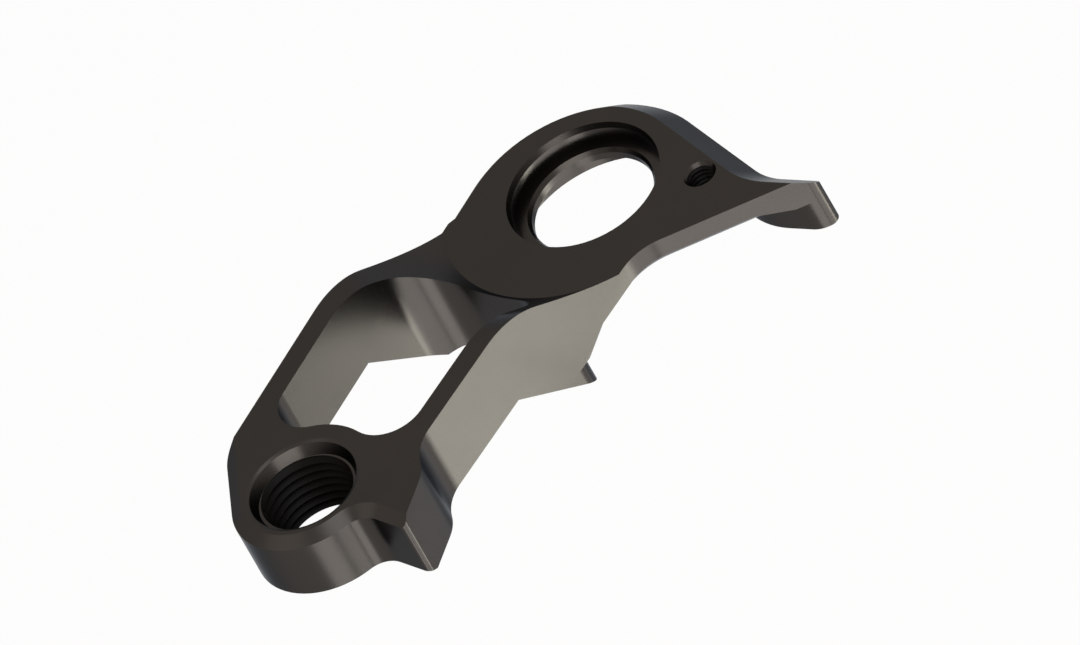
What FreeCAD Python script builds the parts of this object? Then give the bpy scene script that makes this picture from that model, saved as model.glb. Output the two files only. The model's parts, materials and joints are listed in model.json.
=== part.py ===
import FreeCAD, Part
import math
import os

# Derailleur hanger, one machined aluminium piece. The origin lies on the axle
# bore's axis, at the face that seats against the frame's dropout. +Z points
# outboard, towards the derailleur, +X towards the front of the bicycle and
# +Y up. Millimetres.

# Heights along the axle.
FLANGE_T = 3.35
STEP_UP = 9.45
HEAD_T = 8.0
POCKET_DEPTH = 3.65

# Axle bore, stepped, with lead-ins.
BORE_R = 6.35
BORE_LEAD_R = 6.65
BORE_LEAD = 0.45
SHOULDER_R = 7.75
SHOULDER_DEPTH = 2.13
MOUTH_R = 8.0
MOUTH_LEAD = 0.6

# Derailleur mounting hole and its boss. The hole has its tapping size.
M10_BACK = 37.85
M10_DOWN = 28.57
M10_DRILL_R = 4.5
M10_SINK_R = 5.05
M10_SINK = 1.3
M10_LEAD = 0.2
M10_BREAK_R = 5.6
M10_BREAK = 0.15
M10_MOUTH_R = 5.93
BOSS_R = 7.7
BEVEL_W = 1.26
BEVEL_H = 0.85
BEVEL_BEFORE = 24.0
BEVEL_AFTER = 14.0

# Small tapped hole for the retaining screw.
M3_X = 10.26
M3_Y = -7.28
M3_DRILL_R = 1.23
M3_MOUTH_R = 1.7
M3_SINK = 0.62

# The two legs between the boss and the flange.
LEG_W = 2.34
UPPER_ANGLE = 38.45
UPPER_OFF = 12.02
LOWER_ANGLE = 35.57
LOWER_OFF = 10.76
WINDOW_OFF = 15.25
UPPER_SLOPE = 44.4
UPPER_SLOPE_AT = -26.1
LOWER_SLOPE = 39.6
LOWER_SLOPE_AT = -27.05

# Window corners: upper and lower near the boss, then upper and lower far end.
WINDOW_R_BACK_UPPER = 3.7
WINDOW_R_BACK_LOWER = 4.1
WINDOW_R_END_UPPER = 4.57
WINDOW_R_END_LOWER = 6.8

# Boss facet and the stop tab beside it.
FACET_ANGLE = 253.5
FACET_R = 4.0
NECK_ANGLE = -78.0
NECK_R = 2.6
TAB_LEFT_ANGLE = -60.8
TAB_TIP_R = 0.5
TAB_RIGHT_ANGLE = 50.7
TAB_RIGHT_X = 9.69
TAB_RIGHT_Y = -8.43
HIP_ANGLE = 80.0
HIP_X = 10.93
HIP_Y = -5.93
HIP_R_OUT = 5.2
HIP_R_IN = 5.46

# Flange outline: arm edge, tip and the edge round the axle.
ARM_ANGLE = -10.46
ARM_OFF = 11.86
ARM_R = 5.63
TIP_ANGLE = 135.0
TIP_OFF = 4.0
TIP_R = 0.95
TIP_BEND_R = 7.0
FRONT_ANGLE = 106.03
FRONT_OFF = 12.2
RIM_R = 12.3
RIM_W = 2.36

# Sloped top edge of the flange: its inner line on the outboard face.
EDGE_TIP_OFF = 1.51
EDGE_BEND_R = 9.45
EDGE_FRONT_OFF = 9.76
EDGE_MID_ANGLE = 140.2
EDGE_MID_OFF = 9.98
EDGE_R_FRONT = 11.78
EDGE_R_TOP = 12.46
EDGE_UPPER_OFF = 11.6
EDGE_END_ANGLE = 191.0
EDGE_END_OFF = 7.34
EDGE_REACH = 6.0
EDGE_BEFORE = 14.0
EDGE_AFTER = 6.0

# Outboard blend between the flange and the legs, turned about its own axis.
SPOT_X = -0.5
SPOT_R = 14.2
SPOT_SLOPE = 40.9
SPOT_BLEND_R = 10.0

# Pocket wall behind the window, with its rounded corner.
RIB_CORNER_ANGLE = 270.0
POCKET_CORNER_R = 2.62
POCKET_WALL_W = 2.02
POCKET_INNER_R = 3.0
HOOK_CORNER_R = 2.7

# Bevel under the arm's edge, between the lower leg and the hook.
RELIEF_H = 1.25
RELIEF_LEG_END = -13.85
RELIEF_LEG_RUN = 3.4
RELIEF_ARM_END = 15.1
RELIEF_ARM_RUN = 3.9
RELIEF_BEFORE = 24.0
RELIEF_AFTER = 24.0

# Reach of the cuts past the part, and shared tolerances.
FAR = 70.0
CLEAR = 1.0
HALF_KEEP = 0.5
OPEN_CORNER_R = 0.3
TOUCH = 1e-6

head_top = FLANGE_T + STEP_UP
head_bottom = head_top - HEAD_T
m10 = FreeCAD.Vector(-M10_BACK, -M10_DOWN, 0)
origin = FreeCAD.Vector(0, 0, 0)


def heading(deg):
    return FreeCAD.Vector(math.cos(math.radians(deg)), math.sin(math.radians(deg)), 0)


def left_of(deg):
    return heading(deg + 90)


def wall(deg, off, base=origin):
    """A straight wall: its heading, and its distance to the right of a point."""
    return (base - left_of(deg) * off, deg)


def moved(line, out):
    point, deg = line
    return (point - left_of(deg) * out, deg)


def meet(a, b):
    """The point where two lines cross."""
    (p, pd), (q, qd) = a, b
    u, v = heading(pd), heading(qd)
    cross = u.x * v.y - u.y * v.x
    gap = q - p
    return p + u * ((gap.x * v.y - gap.y * v.x) / cross)


def outline(walls, radii, z, grow=0.0):
    """Closed wire of straight walls, counterclockwise, with an arc between
    each wall and the next. Growing moves every wall outwards."""
    lines = [moved(w, grow) for w in walls]
    count = len(lines)
    corners = [meet(lines[i], lines[(i + 1) % count]) for i in range(count)]
    trims = []
    for i in range(count):
        turn = (lines[(i + 1) % count][1] - lines[i][1] + 180) % 360 - 180
        radius = max(radii[i] + math.copysign(grow, turn), 0.02)
        trims.append((radius, abs(math.tan(math.radians(turn / 2))), turn))
    lengths = [(corners[i] - corners[i - 1]).Length for i in range(count)]
    cuts = []
    for i in range(count):
        radius, slope, turn = trims[i]
        prev_cut = trims[i - 1][0] * trims[i - 1][1]
        next_cut = trims[(i + 1) % count][0] * trims[(i + 1) % count][1]
        cut = radius * slope
        share = min(1.0, lengths[i] / (cut + prev_cut), lengths[(i + 1) % count] / (cut + next_cut))
        cuts.append(cut * share)
    edges = []
    lift = FreeCAD.Vector(0, 0, z)
    for i in range(count):
        deg = lines[i][1]
        next_deg = lines[(i + 1) % count][1]
        begin = corners[i - 1] + heading(deg) * cuts[i - 1] + lift
        end = corners[i] - heading(deg) * cuts[i] + lift
        after = corners[i] + heading(next_deg) * cuts[i] + lift
        radius = cuts[i] / trims[i][1]
        side = math.copysign(radius, trims[i][2])
        centre = end + left_of(deg) * side
        middle_deg = deg + trims[i][2] / 2
        middle = centre - left_of(middle_deg) * side
        if (end - begin).Length > TOUCH:
            edges.append(Part.LineSegment(begin, end).toShape())
        edges.append(Part.Arc(end, middle, after).toShape())
    return Part.Wire(Part.__sortEdges__(edges))


def prism(walls, radii, z0, z1):
    face = Part.Face(outline(walls, radii, z0))
    return face.extrude(FreeCAD.Vector(0, 0, z1 - z0))


def run_along(walls, radii, before, after, section):
    """Solid of a closed (outward, z) section run along a chain of walls, with
    an arc between each wall and the next, or a sharp inside corner at radius 0."""
    def cross_cut(point, deg):
        corners = [point - left_of(deg) * out + FreeCAD.Vector(0, 0, z) for out, z in section]
        return Part.Face(Part.makePolygon(corners + corners[:1]))

    begin = meet(walls[0], walls[1]) - heading(walls[0][1]) * before
    pieces = []
    for i, radius in enumerate(radii):
        deg = walls[i][1]
        next_deg = walls[i + 1][1]
        turn = (next_deg - deg + 180) % 360 - 180
        corner = meet(walls[i], walls[i + 1])
        cut = radius * abs(math.tan(math.radians(turn / 2)))
        end = corner - heading(deg) * cut
        centre = end + left_of(deg) * math.copysign(radius, turn)
        if (end - begin).Length > TOUCH:
            pieces.append(cross_cut(begin, deg).extrude(end - begin))
        if radius:
            pieces.append(cross_cut(end, deg).revolve(centre, FreeCAD.Vector(0, 0, 1), turn))
        begin = corner + heading(next_deg) * cut
    last_deg = walls[-1][1]
    pieces.append(cross_cut(begin, last_deg).extrude(heading(last_deg) * after))
    return pieces[0].fuse(pieces[1:])


def turned(profile, centre):
    """Solid of revolution of a closed (radius, z) profile about a vertical axis."""
    points = [FreeCAD.Vector(centre.x + r, centre.y, z) for r, z in profile]
    face = Part.Face(Part.makePolygon(points + points[:1]))
    return face.revolve(centre, FreeCAD.Vector(0, 0, 1), 360)


def side_profile(points, deg, side0, side1):
    """Solid from a closed (along, z) profile, run sideways across a direction."""
    along, across = heading(deg), left_of(deg)
    rise = FreeCAD.Vector(0, 0, 1)
    corners = [along * u + rise * z + across * side0 for u, z in points]
    face = Part.Face(Part.makePolygon(corners + corners[:1]))
    return face.extrude(across * (side1 - side0))


# Outer walls.
upper_leg = wall(UPPER_ANGLE + 180, UPPER_OFF)
facet = wall(FACET_ANGLE, BOSS_R, m10)
boss_end = wall(NECK_ANGLE + 90, BOSS_R, m10)
neck_centre = m10 + heading(NECK_ANGLE) * (BOSS_R + NECK_R)
tab_left = wall(TAB_LEFT_ANGLE, -NECK_R, neck_centre)
tab_right = wall(TAB_RIGHT_ANGLE, 0, m10 + FreeCAD.Vector(TAB_RIGHT_X, TAB_RIGHT_Y, 0))
hip = wall(HIP_ANGLE, 0, m10 + FreeCAD.Vector(HIP_X, HIP_Y, 0))
lower_leg = wall(LOWER_ANGLE, LOWER_OFF)
arm = wall(ARM_ANGLE, ARM_OFF)
tip = wall(TIP_ANGLE, TIP_OFF)
front = wall(FRONT_ANGLE, FRONT_OFF)

# Inner walls of the two legs, and the window's far end.
upper_inner = moved(upper_leg, -LEG_W)
lower_inner = (moved(lower_leg, -LEG_W)[0], LOWER_ANGLE)
window_end = wall(LOWER_ANGLE + 90, -WINDOW_OFF)

body_walls = [upper_leg, facet, boss_end, tab_left, tab_right, hip, lower_leg, arm, tip, front]
body_radii = [FACET_R, BOSS_R, NECK_R, TAB_TIP_R, HIP_R_OUT, HIP_R_IN, ARM_R, TIP_R, TIP_BEND_R, RIM_R]


def make_body():
    return prism(body_walls, body_radii, -POCKET_DEPTH, head_top)


def boss_tangent(line, radius):
    """The boss's tangent where an arc joins it to a leg's inner wall."""
    point, deg = moved(line, -radius)
    reach = BOSS_R + radius
    foot = point + heading(deg) * (m10 - point).dot(heading(deg))
    run = math.sqrt(reach * reach - (foot - m10).dot(foot - m10))
    towards_axle = math.copysign(run, heading(deg).dot(origin - m10))
    centre = foot + heading(deg) * towards_axle - m10
    deg_out = math.degrees(math.atan2(centre.y, centre.x))
    return wall(deg_out - 90, -BOSS_R, m10)


def make_window():
    """The opening between the legs, all the way through."""
    after_upper = boss_tangent(upper_inner, WINDOW_R_BACK_UPPER)
    before_lower = boss_tangent(lower_inner, WINDOW_R_BACK_LOWER)
    walls = [lower_inner, window_end, upper_inner, after_upper, before_lower]
    radii = [WINDOW_R_END_LOWER, WINDOW_R_END_UPPER, WINDOW_R_BACK_UPPER, BOSS_R, WINDOW_R_BACK_LOWER]
    return prism(walls, radii, -POCKET_DEPTH - CLEAR, head_top + CLEAR)


def make_outboard_cut():
    """Metal taken off above the flange: a turned blend, then the flat arm."""
    slope = math.radians(SPOT_SLOPE)
    arc_drop = SPOT_BLEND_R * (1 - math.cos(slope))
    cone_r = SPOT_R + (STEP_UP - arc_drop) / math.tan(slope)
    rim_r = cone_r + SPOT_BLEND_R * math.sin(slope)
    above = head_top + CLEAR
    centre = FreeCAD.Vector(SPOT_X, 0, 0)

    def at(r, z):
        return centre + FreeCAD.Vector(r, 0, z)

    arc_mid = at(rim_r - SPOT_BLEND_R * math.sin(slope / 2),
                 head_top - SPOT_BLEND_R * (1 - math.cos(slope / 2)))
    edges = [
        Part.LineSegment(at(0, FLANGE_T), at(SPOT_R, FLANGE_T)).toShape(),
        Part.LineSegment(at(SPOT_R, FLANGE_T), at(cone_r, head_top - arc_drop)).toShape(),
        Part.Arc(at(cone_r, head_top - arc_drop), arc_mid, at(rim_r, head_top)).toShape(),
        Part.LineSegment(at(rim_r, head_top), at(rim_r, above)).toShape(),
        Part.LineSegment(at(rim_r, above), at(0, above)).toShape(),
        Part.LineSegment(at(0, above), at(0, FLANGE_T)).toShape(),
    ]
    dish = Part.Face(Part.Wire(edges)).revolve(centre, FreeCAD.Vector(0, 0, 1), 360)
    flat = Part.makeBox(FAR, 2 * FAR, above - FLANGE_T, FreeCAD.Vector(SPOT_X, -FAR, FLANGE_T))
    return dish.fuse(flat)


def make_under_cut(deg, slope_at, slope, side0, side1):
    """Metal taken off below one leg, down a slope to the pocket wall's foot."""
    foot = slope_at + (head_bottom + POCKET_DEPTH) / math.tan(math.radians(slope))
    low = -POCKET_DEPTH - CLEAR
    points = [(-FAR, low), (foot, low), (foot, -POCKET_DEPTH), (slope_at, head_bottom), (-FAR, head_bottom)]
    return side_profile(points, deg, side0, side1)


def make_pocket():
    """The recess that the dropout sits in, open along the arm's lower edge."""
    rib = moved(window_end, POCKET_WALL_W)
    rib_side = (rib[0], LOWER_ANGLE - 90)
    corner_r = WINDOW_R_END_LOWER
    corner_centre = meet(moved(lower_inner, -corner_r), moved(window_end, -corner_r))
    round_r = corner_r + POCKET_WALL_W
    rib_corner = wall(RIB_CORNER_ANGLE, -round_r, corner_centre)
    leg_side = (lower_leg[0], LOWER_ANGLE + 180)
    arm_side = (arm[0], ARM_ANGLE + 180)
    walls = [leg_side, wall(0, FAR), wall(90, FAR), arm_side, moved(tip, -RIM_W),
             moved(front, -RIM_W), upper_inner, rib_side, rib_corner]
    radii = [OPEN_CORNER_R, OPEN_CORNER_R, OPEN_CORNER_R, HOOK_CORNER_R, TIP_BEND_R + RIM_W,
             RIM_R - RIM_W, POCKET_INNER_R, round_r, POCKET_CORNER_R]
    return prism(walls, radii, -POCKET_DEPTH - CLEAR, 0)


def make_edge_slope():
    """Sloped metal taken off the flange's outboard edge, from the leg to the tip."""
    inner_tip = wall(TIP_ANGLE, EDGE_TIP_OFF)
    inner_front = wall(FRONT_ANGLE, EDGE_FRONT_OFF)
    mid = wall(EDGE_MID_ANGLE, EDGE_MID_OFF)
    upper = wall(UPPER_ANGLE + 180, EDGE_UPPER_OFF)
    end = wall(EDGE_END_ANGLE, EDGE_END_OFF)
    section = [(0, FLANGE_T), (FLANGE_T, 0), (EDGE_REACH, 0), (EDGE_REACH, FLANGE_T)]
    walls = [inner_tip, inner_front, mid, upper, end]
    radii = [EDGE_BEND_R, EDGE_R_FRONT, EDGE_R_TOP, 0]
    return run_along(walls, radii, EDGE_BEFORE, EDGE_AFTER, section)


def make_bevel(face_z, inwards):
    """Bevel round the boss at one face, from the facet to the tab's tip."""
    foot = face_z + inwards * BEVEL_H
    clear = face_z - inwards * CLEAR
    section = [(-BEVEL_W, face_z), (0, foot), (CLEAR, foot), (CLEAR, clear), (-BEVEL_W, clear)]
    return run_along([facet, boss_end, tab_left], [BOSS_R, NECK_R], BEVEL_BEFORE, BEVEL_AFTER, section)


def make_relief():
    """Bevel under the arm's edge, running out towards the leg and the hook."""
    section = [(0, RELIEF_H), (-RELIEF_H, 0), (CLEAR, 0), (CLEAR, RELIEF_H)]
    cut = run_along([lower_leg, arm], [ARM_R], RELIEF_BEFORE, RELIEF_AFTER, section)
    leg_end = [(RELIEF_LEG_END - RELIEF_LEG_RUN, 0), (FAR, 0), (FAR, RELIEF_H), (RELIEF_LEG_END, RELIEF_H)]
    arm_end = [(RELIEF_ARM_END + RELIEF_ARM_RUN, 0), (RELIEF_ARM_END, RELIEF_H), (-FAR, RELIEF_H), (-FAR, 0)]
    cut = cut.common(side_profile(leg_end, LOWER_ANGLE, -FAR, FAR))
    return cut.common(side_profile(arm_end, ARM_ANGLE, -FAR, FAR))


def make_bore():
    top = FLANGE_T
    floor = FLANGE_T - SHOULDER_DEPTH
    profile = [
        (0, -CLEAR), (BORE_R, -CLEAR), (BORE_R, floor - BORE_LEAD), (BORE_LEAD_R, floor),
        (SHOULDER_R, floor), (SHOULDER_R, top - MOUTH_LEAD), (MOUTH_R, top),
        (MOUTH_R, top + CLEAR), (0, top + CLEAR),
    ]
    return turned(profile, origin)


def make_m10_hole():
    top = head_top
    profile = [
        (0, head_bottom - CLEAR), (M10_DRILL_R, head_bottom - CLEAR),
        (M10_DRILL_R, top - M10_SINK - M10_LEAD),
        (M10_SINK_R, top - M10_SINK), (M10_BREAK_R, top - M10_BREAK), (M10_MOUTH_R, top),
        (M10_MOUTH_R, top + CLEAR), (0, top + CLEAR),
    ]
    return turned(profile, m10)


def make_m3_hole():
    top = FLANGE_T
    profile = [
        (0, -CLEAR), (M3_DRILL_R, -CLEAR), (M3_DRILL_R, top - M3_SINK), (M3_MOUTH_R, top),
        (M3_MOUTH_R, top + CLEAR), (0, top + CLEAR),
    ]
    return turned(profile, FreeCAD.Vector(M3_X, M3_Y, 0))


def make_hanger():
    shape = make_body()
    shape = shape.cut(make_outboard_cut())
    shape = shape.cut(make_window())
    shape = shape.cut(make_under_cut(UPPER_ANGLE, UPPER_SLOPE_AT, UPPER_SLOPE, -HALF_KEEP, FAR))
    shape = shape.cut(make_under_cut(LOWER_ANGLE, LOWER_SLOPE_AT, LOWER_SLOPE, -FAR, HALF_KEEP))
    shape = shape.cut(make_pocket())
    shape = shape.cut(make_edge_slope())
    shape = shape.cut(make_bevel(head_top, -1))
    shape = shape.cut(make_bevel(head_bottom, 1))
    shape = shape.cut(make_relief())
    shape = shape.cut(make_bore())
    shape = shape.cut(make_m10_hole())
    shape = shape.cut(make_m3_hole())
    return shape.removeSplitter()


os.makedirs("parts", exist_ok=True)
hanger = make_hanger()
print("solids", len(hanger.Solids), "valid", hanger.isValid(), "volume", round(hanger.Volume, 1))
print("box", hanger.BoundBox)
hanger.exportStep("parts/hanger.step")
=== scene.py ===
import json
import math

import bmesh
import bpy
from mathutils import Matrix, Vector


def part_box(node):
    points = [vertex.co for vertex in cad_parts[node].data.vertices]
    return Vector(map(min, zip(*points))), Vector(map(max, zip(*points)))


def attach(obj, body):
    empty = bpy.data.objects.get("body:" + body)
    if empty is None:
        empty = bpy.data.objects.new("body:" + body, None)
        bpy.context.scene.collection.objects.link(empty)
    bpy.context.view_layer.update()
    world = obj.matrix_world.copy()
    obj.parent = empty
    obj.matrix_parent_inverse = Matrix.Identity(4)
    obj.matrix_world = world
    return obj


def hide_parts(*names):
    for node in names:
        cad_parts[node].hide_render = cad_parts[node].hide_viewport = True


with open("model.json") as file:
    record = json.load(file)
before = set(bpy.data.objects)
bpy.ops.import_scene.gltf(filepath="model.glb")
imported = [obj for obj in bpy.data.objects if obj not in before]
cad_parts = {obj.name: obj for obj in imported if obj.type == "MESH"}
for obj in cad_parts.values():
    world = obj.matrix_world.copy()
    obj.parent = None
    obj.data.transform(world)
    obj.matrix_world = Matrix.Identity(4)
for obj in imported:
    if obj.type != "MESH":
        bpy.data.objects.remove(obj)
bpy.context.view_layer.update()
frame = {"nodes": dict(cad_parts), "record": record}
mounts = {m["name"]: m for m in frame["record"]["mounts"]}
print("frame loaded:", sorted(frame["nodes"]))


def toLinear(hexColour):
    # sRGB hex to the linear colour that the shaders take
    values = [int(hexColour[i:i + 2], 16) / 255 for i in (1, 3, 5)]
    return [v / 12.92 if v <= 0.04045 else ((v + 0.055) / 1.055) ** 2.4 for v in values] + [1.0]


def emptyTree(owner):
    owner.use_nodes = True
    owner.node_tree.nodes.clear()
    return owner.node_tree


def addNode(tree, kind, settings=None, links=None):
    # one node, its values by socket or property name, and its incoming links by socket name or number
    node = tree.nodes.new(kind)
    for name, value in (settings or {}).items():
        if name in node.inputs:
            node.inputs[name].default_value = value
        else:
            setattr(node, name, value)
    for name, socket in (links or {}).items():
        tree.links.new(socket, node.inputs[name])
    return node


def newMesh(bm, name, material):
    mesh = bpy.data.meshes.new(name)
    bm.to_mesh(mesh)
    bm.free()
    mesh.materials.append(material)
    piece = bpy.data.objects.new(name, mesh)
    bpy.context.scene.collection.objects.link(piece)
    return piece


# Materials: aluminium, bead-blasted and then anodised with a dark dye. The dye sits in a thin
# oxide, so faces stay nearly black-brown and turn light only where they mirror a lamp.
anodised = {
    "colour": "#3b3835",
    "tint": "#413d3a",  # the dye takes unevenly, so the colour drifts to this one and back
    "cloudSize": 0.009,
    "cloudDetail": 3.0,
    "slantTint": "#b5b9be",  # light at a slant goes a longer way through the dye and comes out cooler
    "roughness": (0.23, 0.29),
    "blastGrain": 0.00016,  # real grit leaves 0.05 mm pits, drawn coarser so that they show
    "grainDetail": 2.0,
    "grainDepth": 0.000003,
}
# In the threads the colour is made nearly black and duller: painted shade for the dark of the hollow
# threads.
threadPaintedShade = dict(anodised, colour="#131211", tint="#1a1918", slantTint="#606060", roughness=(0.42, 0.5))


def anodisedAluminium(name, look):
    material = bpy.data.materials.new(name)
    tree = emptyTree(material)
    place = addNode(tree, "ShaderNodeTexCoord")
    cloud = addNode(tree, "ShaderNodeTexNoise",
                    {"Scale": 1 / look["cloudSize"], "Detail": look["cloudDetail"]},
                    {"Vector": place.outputs["Object"]})
    grain = addNode(tree, "ShaderNodeTexNoise",
                    {"Scale": 1 / look["blastGrain"], "Detail": look["grainDetail"]},
                    {"Vector": place.outputs["Object"]})
    colour = addNode(tree, "ShaderNodeMix", {"data_type": "RGBA"}, {"Factor": cloud.outputs["Fac"]})
    first, second = [socket for socket in colour.inputs if socket.type == "RGBA"]
    first.default_value = toLinear(look["colour"])
    second.default_value = toLinear(look["tint"])
    mixed = [socket for socket in colour.outputs if socket.type == "RGBA"][0]
    low, high = look["roughness"]
    rough = addNode(tree, "ShaderNodeMapRange", {"To Min": low, "To Max": high},
                    {"Value": grain.outputs["Fac"]})
    bump = addNode(tree, "ShaderNodeBump", {"Strength": 1.0, "Distance": look["grainDepth"]},
                   {"Height": grain.outputs["Fac"]})
    shader = addNode(tree, "ShaderNodeBsdfPrincipled",
                     {"Metallic": 1.0, "Specular Tint": toLinear(look["slantTint"])},
                     {"Base Color": mixed, "Roughness": rough.outputs["Result"],
                      "Normal": bump.outputs["Normal"]})
    addNode(tree, "ShaderNodeOutputMaterial", None, {"Surface": shader.outputs["BSDF"]})
    return material


# Hanger: the CAD solid with its sharp edges broken.
hanger = {
    "edgeBreak": 0.00013,
    "breakAbove": 42,  # degrees between two faces that leave a sharp outside edge
    "flatWithin": 0.4,  # degrees within which neighbouring faces are one flat face
    "smoothBelow": 15,  # degrees below which the light runs on smoothly over an edge
    "mergeWithin": 1e-7,
}


def machinedBody():
    # merged copy of the CAD solid, with its flat faces made whole and its edges broken
    bm = bmesh.new()
    bm.from_mesh(frame["nodes"]["hanger"].data)
    bmesh.ops.remove_doubles(bm, verts=bm.verts, dist=hanger["mergeWithin"])
    flat = math.radians(hanger["flatWithin"])
    bmesh.ops.dissolve_limit(bm, angle_limit=flat, verts=bm.verts, edges=bm.edges)
    limit = math.radians(hanger["breakAbove"])
    outside = [e for e in bm.edges if len(e.link_faces) == 2 and e.is_convex]
    sharp = [e for e in outside if e.calc_face_angle(0) > limit]
    bmesh.ops.bevel(bm, geom=sharp, offset=hanger["edgeBreak"], offset_type="OFFSET", affect="EDGES",
                    segments=1, profile=0.5, material=-1, clamp_overlap=True)
    return newMesh(bm, "machinedBody", anodisedAluminium("anodisedAluminium", anodised))


# Threads: each is cut by a tap, whose shape is one turn's V profile spun up the hole.
threads = {
    "derailleur_thread": {
        "pitch": 0.001,
        "depth": 0.00054,
        "crest": 0.05,  # the crest's flat, as a share of the pitch
        "phase": 0.84,  # how much higher the thread starts, as a share of the pitch
        "steps": 72,  # flat steps in one turn
    },
    "retaining_screw_thread": {
        "pitch": 0.0005,
        "depth": 0.00027,
        "crest": 0.07,
        "phase": 0.0,
        "steps": 36,
    },
}
tap = {
    "inset": 0.00001,  # from the hole's wall in to the bottom of the tap's own grooves
    "root": (0.48, 0.58),  # the flat of the thread's root, as shares of the pitch
    "turnsBelow": 3,  # pitches from the thread's lower end down to where the profile starts
    "turnsMore": 5,  # turns that the profile makes beyond the thread's own
    "pastBottom": 0.8,  # how far the tap reaches past the thread's two ends, in pitches
    "pastTop": 1.0,
    "mergeWithin": 0.002,  # as a share of the pitch
    "onPlane": 1e-8,  # a corner this near to an end's plane lies on it
    "crestReach": 0.000005,  # an upright face this near to a threaded hole's wall is a crest
    "crestLean": 0.1,  # the most that an upright face leans, as a sine
}


def holeSize(mount):
    return mount["dims"]["r_mm"] / 1000, mount["dims"]["length_mm"] / 1000


def tapBody(mount, size, tapShade):
    # one turn's profile spun up the hole and past its ends, then cut off square at both ends
    wall, length = holeSize(mount)
    radius = wall - tap["inset"]
    root = radius + size["depth"]
    pitch = size["pitch"]
    centre = Vector(mount["pos_m"])
    start = centre.z - (tap["turnsBelow"] - size["phase"]) * pitch
    turns = math.ceil(length / pitch) + tap["turnsMore"]
    rootFrom, rootTo = tap["root"]
    profile = [(radius, 0.0), (radius, size["crest"]), (root, rootFrom), (root, rootTo), (radius, 1.0)]
    bm = bmesh.new()
    points = [bm.verts.new((centre.x + r, centre.y, start + u * pitch)) for r, u in profile]
    edges = [bm.edges.new(pair) for pair in zip(points, points[1:])]
    bmesh.ops.spin(bm, geom=points + edges, cent=(centre.x, centre.y, start), axis=(0, 0, 1),
                   dvec=(0, 0, pitch / size["steps"]), angle=2 * math.pi * turns,
                   steps=size["steps"] * turns, use_merge=False)
    bmesh.ops.remove_doubles(bm, verts=bm.verts, dist=pitch * tap["mergeWithin"])
    bottom = centre.z - pitch * tap["pastBottom"]
    top = centre.z + length + pitch * tap["pastTop"]
    for height, side in ((bottom, -1), (top, 1)):
        bmesh.ops.bisect_plane(bm, geom=bm.verts[:] + bm.edges[:] + bm.faces[:], plane_co=(0, 0, height),
                               plane_no=(0, 0, side), clear_outer=True)
        rim = []
        for edge in bm.edges:
            level = all(abs(v.co.z - height) < tap["onPlane"] for v in edge.verts)
            if edge.is_boundary and level:
                rim.append(edge)
        bmesh.ops.edgeloop_fill(bm, edges=rim)
    bmesh.ops.recalc_face_normals(bm, faces=bm.faces)
    return newMesh(bm, "tap", tapShade)


def cutWith(piece, tool):
    # takes the tool's shape out of the piece, and removes the tool
    cut = piece.modifiers.new("cut", "BOOLEAN")
    cut.operation = "DIFFERENCE"
    cut.solver = "EXACT"
    # the tap carries the threads' painted shade, and the cut faces take it
    cut.material_mode = "TRANSFER"  # the cut faces take the tool's finish
    cut.object = tool
    bpy.context.view_layer.update()
    evaluated = piece.evaluated_get(bpy.context.evaluated_depsgraph_get())
    mesh = bpy.data.meshes.new_from_object(evaluated)
    piece.modifiers.clear()
    piece.data = mesh
    bpy.data.objects.remove(tool)


def shadeCrests(bm, mount, slot):
    # a thread's flat crests are left from the hole's own wall, and get the threads' painted shade as well
    wall, length = holeSize(mount)
    centre = Vector(mount["pos_m"])
    for face in bm.faces:
        spot = face.calc_center_median() - centre
        upright = abs(face.normal.z) < tap["crestLean"]
        if upright and spot.xy.length < wall + tap["crestReach"] and 0 < spot.z < length:
            face.material_index = slot


def finishedHanger():
    piece = machinedBody()
    # the threads' painted shade: a near-black, rougher copy of the anodised material
    threadShadeMaterial = anodisedAluminium("threadPaintedShade", threadPaintedShade)
    for name, size in threads.items():
        cutWith(piece, tapBody(mounts[name], size, threadShadeMaterial))
    bm = bmesh.new()
    bm.from_mesh(piece.data)
    bmesh.ops.remove_doubles(bm, verts=bm.verts, dist=hanger["mergeWithin"])
    bm.normal_update()
    for name in threads:
        shadeCrests(bm, mounts[name], piece.data.materials.find("threadPaintedShade"))
    limit = math.radians(hanger["smoothBelow"])
    for face in bm.faces:
        face.smooth = True
    for edge in bm.edges:
        edge.smooth = edge.calc_face_angle(0) < limit
    bm.to_mesh(piece.data)
    bm.free()
    piece.name = "finishedHanger"
    piece.data.name = "finishedHanger"
    return piece


body = finishedHanger()
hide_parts("hanger")
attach(body, "root")
print("hanger:", len(body.data.polygons), "faces")


# Stage: a pale floor well below the part, which is held by its axle bore, and a plain room.
stage = {
    "floorDrop": 0.25,
    "floorReach": 1.5,
    "floorColour": "#f0f0ee",
    "floorShown": 0.9,  # share of the floor that shows as plain white, the rest takes light and shadow
    "horizon": 0.85,
    "ceiling": 0.75,
    "ceilingColour": "#fffaf5",
    "fade": (0.05, 0.35),  # heights between which the horizon turns to the ceiling, as sines
}


def seenRays(tree):
    # 1 for camera, glossy and see-through rays, and 0 for the others
    rays = addNode(tree, "ShaderNodeLightPath")
    seen = rays.outputs["Is Camera Ray"]
    for name in ("Is Glossy Ray", "Is Transmission Ray"):
        either = addNode(tree, "ShaderNodeMath", {"operation": "MAXIMUM"}, {0: seen, 1: rays.outputs[name]})
        seen = either.outputs[0]
    return seen


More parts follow.
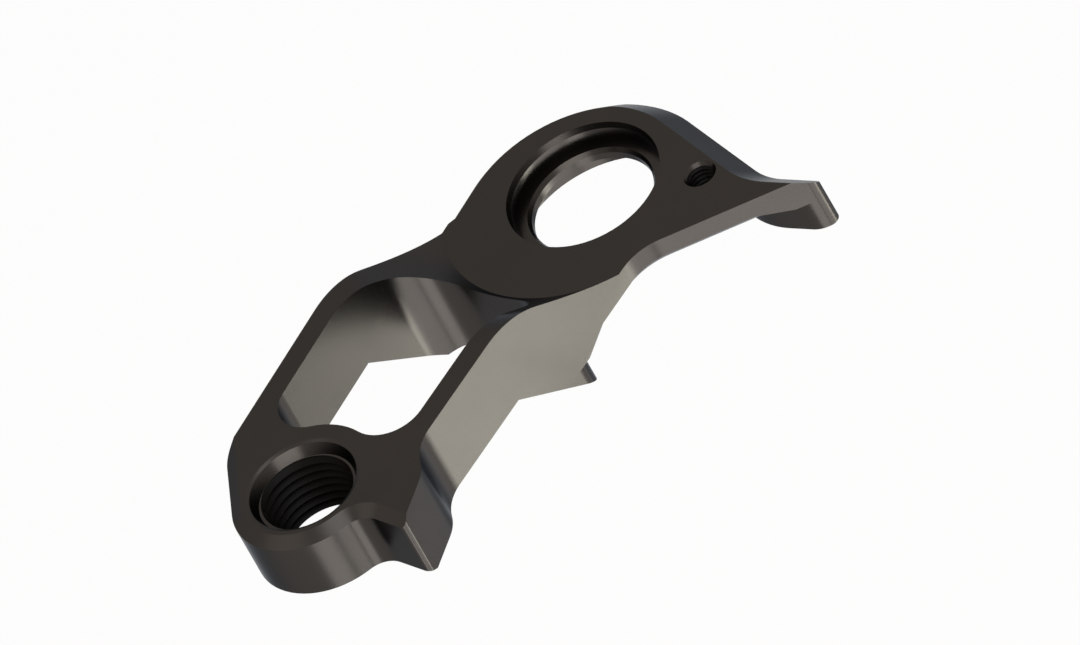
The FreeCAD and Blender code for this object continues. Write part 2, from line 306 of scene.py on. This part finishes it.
def paleFloor():
    low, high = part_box("hanger")
    bm = bmesh.new()
    bmesh.ops.create_grid(bm, x_segments=1, y_segments=1, size=stage["floorReach"])
    bmesh.ops.translate(bm, verts=bm.verts, vec=(0, 0, low.z - stage["floorDrop"]))
    material = bpy.data.materials.new("paleCard")
    tree = emptyTree(material)
    paper = addNode(tree, "ShaderNodeBsdfDiffuse", {"Color": toLinear(stage["floorColour"])})
    glow = addNode(tree, "ShaderNodeEmission", {"Color": toLinear("#ffffff"), "Strength": 1.0})
    share = addNode(tree, "ShaderNodeMath", {"operation": "MULTIPLY"}, {0: seenRays(tree)})
    share.inputs[1].default_value = stage["floorShown"]
    mix = addNode(tree, "ShaderNodeMixShader", None,
                  {0: share.outputs[0], 1: paper.outputs[0], 2: glow.outputs[0]})
    addNode(tree, "ShaderNodeOutputMaterial", None, {"Surface": mix.outputs[0]})
    newMesh(bm, "floor", material)


def studioRoom():
    # a pale horizon under a slightly warmer ceiling, the same for every ray
    world = bpy.data.worlds.new("studioRoom")
    bpy.context.scene.world = world
    tree = emptyTree(world)
    direction = addNode(tree, "ShaderNodeTexCoord")
    parts = addNode(tree, "ShaderNodeSeparateXYZ", None, {"Vector": direction.outputs["Generated"]})
    low, high = stage["fade"]
    height = addNode(tree, "ShaderNodeMapRange",
                     {"From Min": low, "From Max": high, "interpolation_type": "SMOOTHSTEP"},
                     {"Value": parts.outputs["Z"]})
    horizon = addNode(tree, "ShaderNodeBackground",
                      {"Color": toLinear("#ffffff"), "Strength": stage["horizon"]})
    ceiling = addNode(tree, "ShaderNodeBackground",
                      {"Color": toLinear(stage["ceilingColour"]), "Strength": stage["ceiling"]})
    room = addNode(tree, "ShaderNodeMixShader", None,
                   {0: height.outputs["Result"], 1: horizon.outputs[0], 2: ceiling.outputs[0]})
    addNode(tree, "ShaderNodeOutputWorld", None, {"Surface": room.outputs[0]})


# Lamps: turn and lift are a lamp's direction from the part, in degrees, and glow is how bright
# its face is, where 1 is white. The low ones are what the part's upright walls mirror.
lamps = {
    "overhead": {
        "turn": -45, "lift": 67, "distance": 0.5,
        "size": (0.36, 0.3), "glow": 2.3, "colour": "#ecf6ff",
    },
    "overheadLeft": {
        "turn": 184, "lift": 54, "distance": 0.5,
        "size": (0.28, 0.26), "glow": 0.45, "colour": "#ffffff",
    },
    "front": {
        "turn": -93, "lift": 18, "distance": 0.5,
        "size": (0.48, 0.31), "glow": 2.8, "colour": "#ffffff",
    },
    "lowRight": {
        "turn": -23, "lift": -41, "distance": 0.3,
        "size": (0.075, 0.12), "glow": 8.2, "colour": "#f9fff7",
    },
    "lowSide": {
        "turn": 14, "lift": -41, "distance": 0.3,
        "size": (0.1, 0.1), "glow": 1.2, "colour": "#ffffff",
    },
    "lowMiddle": {
        "turn": -60, "lift": -41, "distance": 0.3,
        "size": (0.24, 0.1), "glow": 2.7, "colour": "#fafdff",
    },
    "lowFront": {
        "turn": -110, "lift": -41, "distance": 0.3,
        "size": (0.12, 0.1), "glow": 3.3, "colour": "#fafdff",
    },
}


def placeLamps():
    low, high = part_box("hanger")
    middle = (low + high) / 2
    for name, lamp in lamps.items():
        light = bpy.data.lights.new(name, "AREA")
        light.shape = "RECTANGLE"
        light.size, light.size_y = lamp["size"]
        light.energy = lamp["glow"] * math.pi * light.size * light.size_y
        light.color = toLinear(lamp["colour"])[:3]
        holder = bpy.data.objects.new(name, light)
        holder.visible_camera = False
        bpy.context.scene.collection.objects.link(holder)
        turn = math.radians(lamp["turn"])
        lift = math.radians(lamp["lift"])
        away = Vector((math.cos(turn) * math.cos(lift), math.sin(turn) * math.cos(lift), math.sin(lift)))
        holder.location = middle + away * lamp["distance"]
        holder.rotation_euler = away.to_track_quat("Z", "Y").to_euler()


# Camera: parallel projection, looking down at the part and rolled, both in degrees.
view = {
    "pixelsPerMm": 10.39,
    "imageWidth": 1080,
    "imageHeight": 645,
    "lookDown": 40.7,
    "roll": 30.1,
    "anchorPixel": (302.27, 484.63),  # where the derailleur hole's mouth is centred in the picture
    "distance": 0.4,
    "clip": (0.01, 10),
}


def placeCamera():
    tilt = math.radians(view["lookDown"])
    roll = math.radians(view["roll"])
    back = Vector((0, -math.cos(tilt), math.sin(tilt)))
    flatUp = Vector((0, math.sin(tilt), math.cos(tilt)))
    flatRight = Vector((1, 0, 0))
    right = flatRight * math.cos(roll) - flatUp * math.sin(roll)
    up = flatRight * math.sin(roll) + flatUp * math.cos(roll)
    anchor = Vector(mounts["derailleur_thread"]["pos_m"])
    anchor.z = mounts["derailleur_seat"]["pos_m"][2]
    metresPerPixel = 0.001 / view["pixelsPerMm"]
    anchorX, anchorY = view["anchorPixel"]
    acrossX = view["imageWidth"] / 2 - anchorX
    acrossY = anchorY - view["imageHeight"] / 2
    centre = anchor + right * acrossX * metresPerPixel + up * acrossY * metresPerPixel
    lens = bpy.data.cameras.new("camera")
    lens.type = "ORTHO"
    lens.ortho_scale = view["imageWidth"] * metresPerPixel
    lens.clip_start, lens.clip_end = view["clip"]
    camera = bpy.data.objects.new("camera", lens)
    bpy.context.scene.collection.objects.link(camera)
    turn = Matrix((right, up, back)).transposed().to_4x4()
    camera.matrix_world = Matrix.Translation(centre + back * view["distance"]) @ turn
    bpy.context.scene.camera = camera


paleFloor()
studioRoom()
placeLamps()
placeCamera()
bpy.context.scene.view_settings.view_transform = "Standard"
print("stage, lamps and camera placed")
